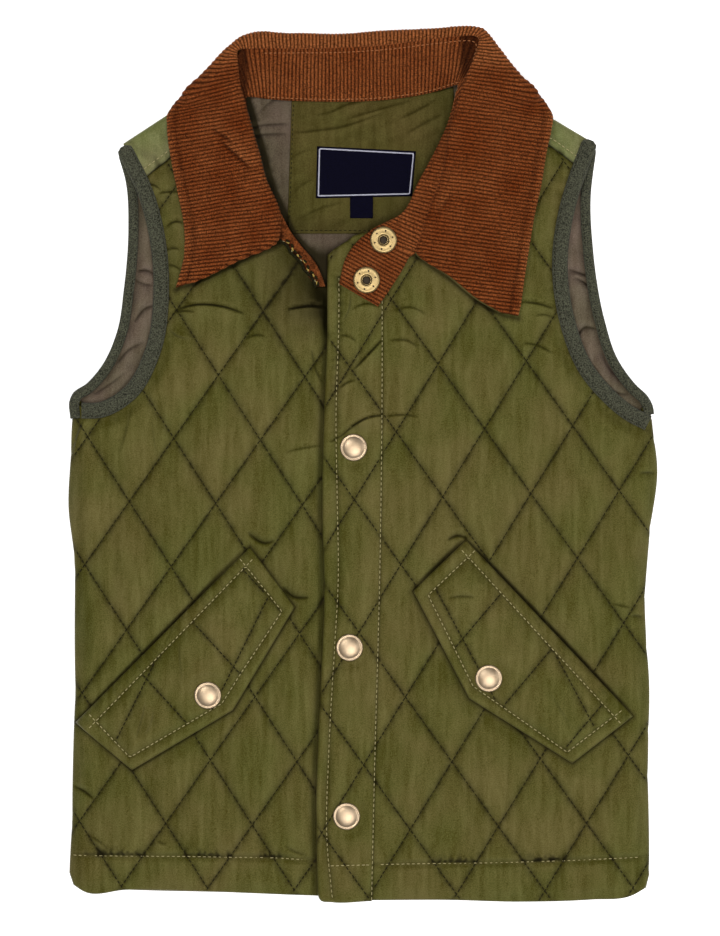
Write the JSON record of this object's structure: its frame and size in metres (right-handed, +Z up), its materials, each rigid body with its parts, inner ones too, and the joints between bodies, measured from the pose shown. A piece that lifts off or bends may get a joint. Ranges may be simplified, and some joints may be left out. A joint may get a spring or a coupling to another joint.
{
  "type": "quilted vest",
  "caption": "Toddler's sleeveless quilted vest laid flat, with a rolled corduroy collar, bound armholes, a snapped placket and slanted pocket flaps.",
  "frame": {"origin": "on the table surface under the middle of the vest's outline", "axes": "+X to the wearer's left, +Y from the hem to the collar, +Z up from the table through the front"},
  "size_m": [0.3185, 0.474, 0.0212],
  "materials": {
    "green_nylon": "olive green quilted nylon with a soft brown sheen",
    "taupe_lining": "matt taupe quilted lining",
    "navy_satin": "dark navy woven label satin",
    "corduroy": "rust brown corduroy with ribs across the collar",
    "felt_tape": "grey-green felted binding",
    "brass": "satin antique brass"
  },
  "bodies": {
    "root": {"back_panel": "green_nylon", "back_lining": "taupe_lining", "neck_facing": "green_nylon", "neck_label": "navy_satin", "size_tab": "navy_satin", "front_right": "green_nylon", "front_left": "green_nylon", "placket": "green_nylon", "yoke_right": "green_nylon", "yoke_left": "green_nylon", "collar_stand": "corduroy", "collar_fall": "corduroy", "binding_front_right": "felt_tape", "binding_front_left": "felt_tape", "binding_back_right": "felt_tape", "binding_back_left": "felt_tape", "flap_right": "green_nylon", "flap_left": "green_nylon", "snap_placket_1": "brass", "snap_placket_2": "brass", "snap_placket_3": "brass", "snap_flap_right": "brass", "snap_flap_left": "brass", "snap_collar_1": "brass", "snap_collar_2": "brass"}
  },
  "joints": []
}
